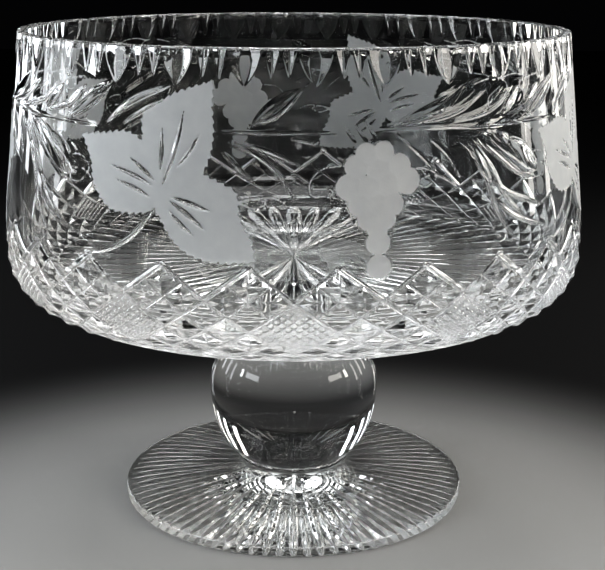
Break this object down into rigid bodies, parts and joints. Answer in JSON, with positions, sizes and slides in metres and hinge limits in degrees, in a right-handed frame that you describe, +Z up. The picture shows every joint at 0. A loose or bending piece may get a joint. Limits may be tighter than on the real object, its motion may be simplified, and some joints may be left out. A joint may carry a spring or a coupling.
{
  "type": "punch bowl",
  "caption": "Footed punch bowl: a wide cut-glass bowl with a fluted rim and a star-cut base, on a solid ball stem and a round foot with cut rays.",
  "frame": {"origin": "centre of the foot's resting face", "axes": "+Z up along the bowl's axis, -Y towards the front, where a group of rim flutes is centred"},
  "size_m": [0.3019, 0.302, 0.2535],
  "materials": {
    "cut_crystal": "polished colourless crystal with cut facets and frosted leaf and grape engraving",
    "plain_crystal": "polished colourless crystal, uncut",
    "clear_bond": "clear cured adhesive film"
  },
  "bodies": {
    "root": {"bowl": "cut_crystal", "bond_layer": "clear_bond", "stem_knop": "plain_crystal", "merese": "plain_crystal", "foot": "cut_crystal"}
  },
  "joints": []
}
